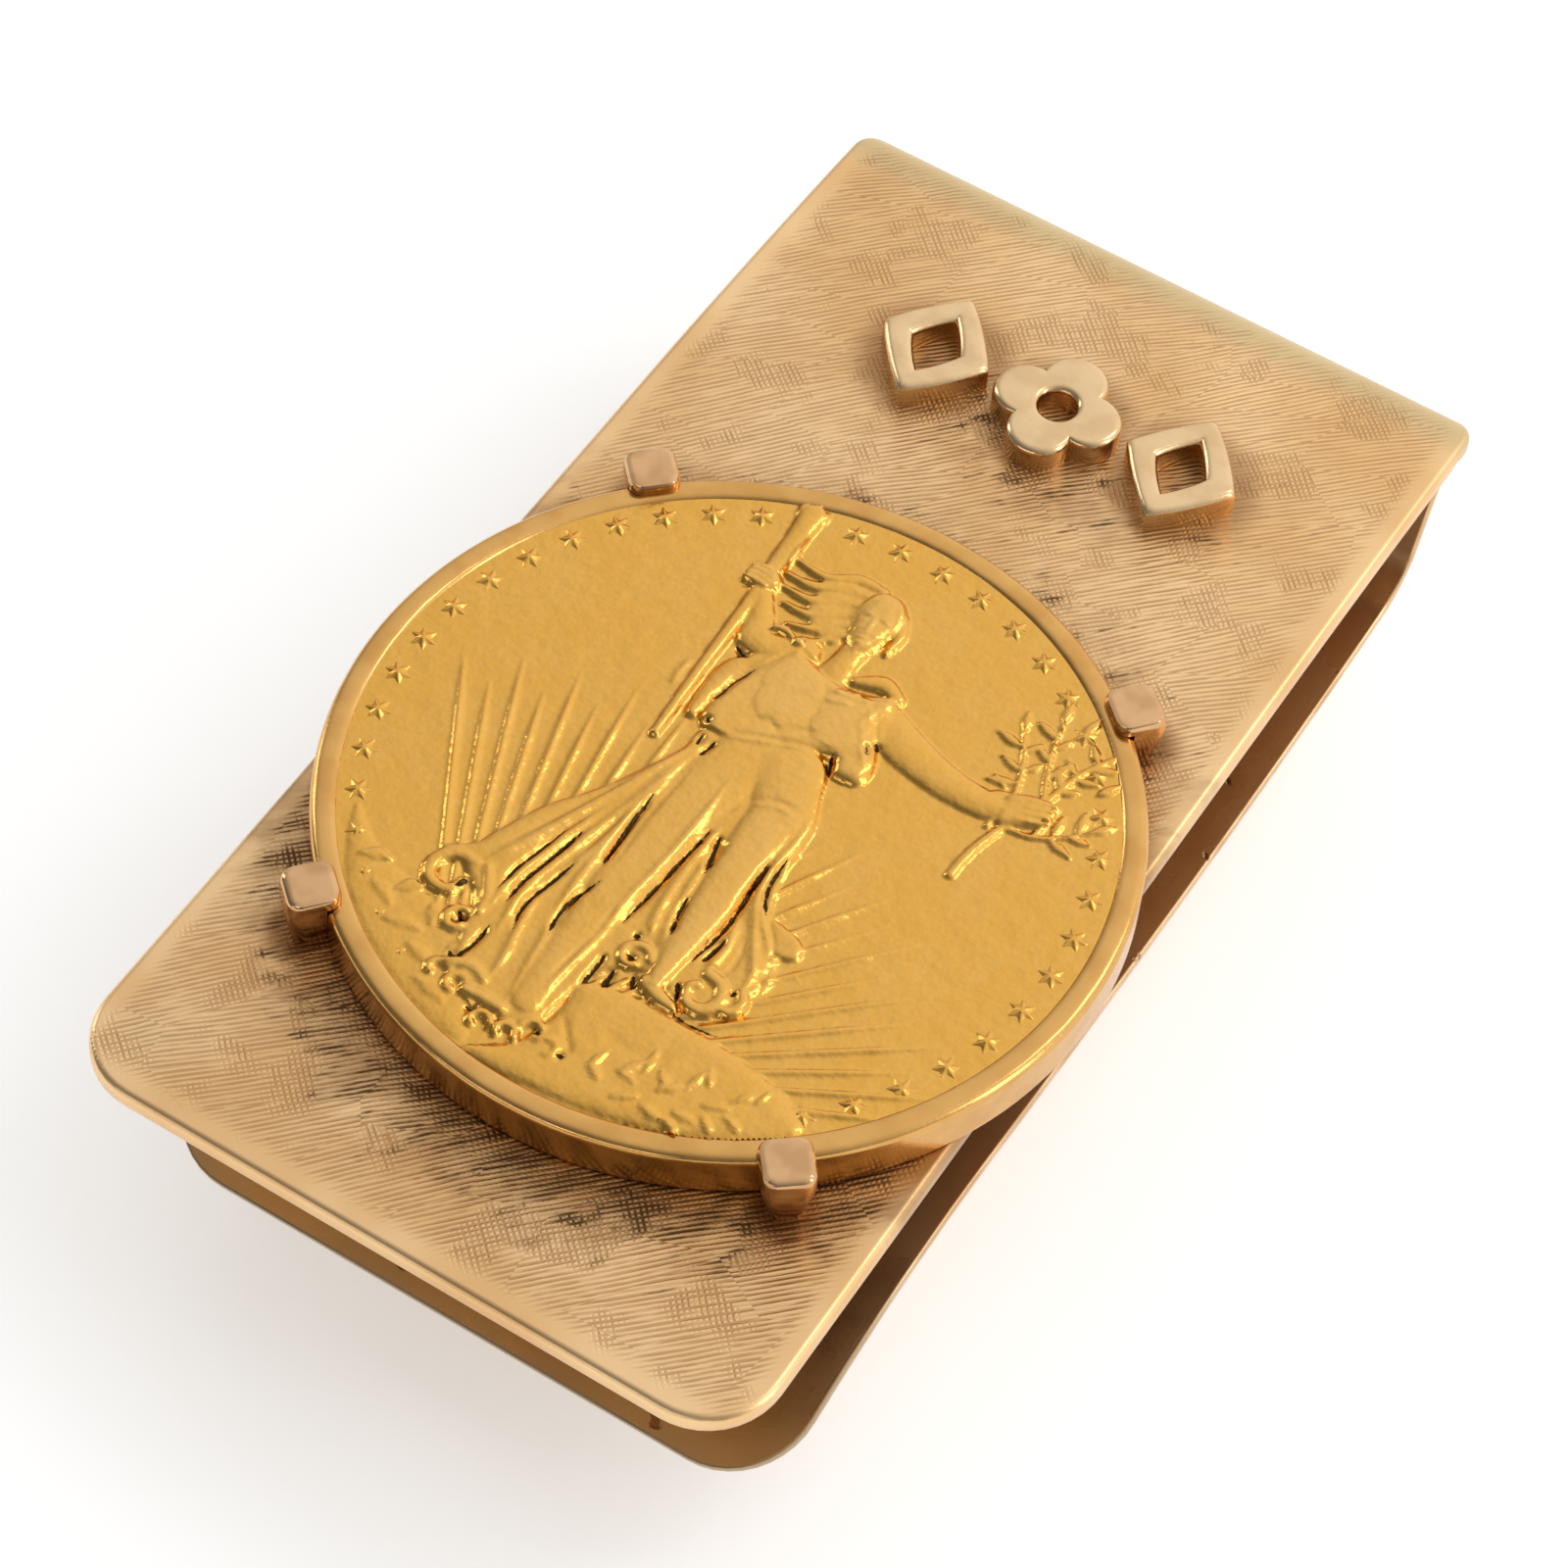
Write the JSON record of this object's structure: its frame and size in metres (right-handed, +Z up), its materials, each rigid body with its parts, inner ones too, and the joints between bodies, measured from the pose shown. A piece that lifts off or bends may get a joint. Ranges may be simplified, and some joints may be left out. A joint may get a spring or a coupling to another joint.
{
  "type": "money clip",
  "caption": "Flat money clip with a round medal held on its front plate by prongs, applied ornaments, and a sprung back leaf that opens at the bend.",
  "frame": {"origin": "below the coin's axis in X, half way along the plate in Y, on the lowest line of the back leaf in Z", "axes": "+Y along the clip towards the bend, +Z up through the front plate, X across its width"},
  "size_m": [0.034, 0.062, 0.0114],
  "materials": {
    "engraved_gold": "cross-hatched engraved gold, dark in the hollows, polished edges",
    "leaf_gold": "satin gold",
    "coin_gold": "struck gold with worn lustre",
    "prong_gold": "polished gold",
    "ornament_gold": "polished gold"
  },
  "bodies": {
    "plate": {"front_plate": "engraved_gold", "coin": "coin_gold", "prong_bend_left": "prong_gold", "prong_bend_right": "prong_gold", "prong_open_left": "prong_gold", "prong_open_right": "prong_gold", "left_lozenge": "ornament_gold", "middle_quatrefoil": "ornament_gold", "right_lozenge": "ornament_gold"},
    "leaf": {"spring_leaf": "leaf_gold"}
  },
  "joints": [
    {"name": "leaf_flex", "type": "hinge", "parent": "plate", "child": "leaf", "pos_m": [0, 0.0284, 0.0068], "axis": [1, 0, 0], "range_deg": [0, 5], "stiffness_Nm_per_rad": 1}
  ]
}
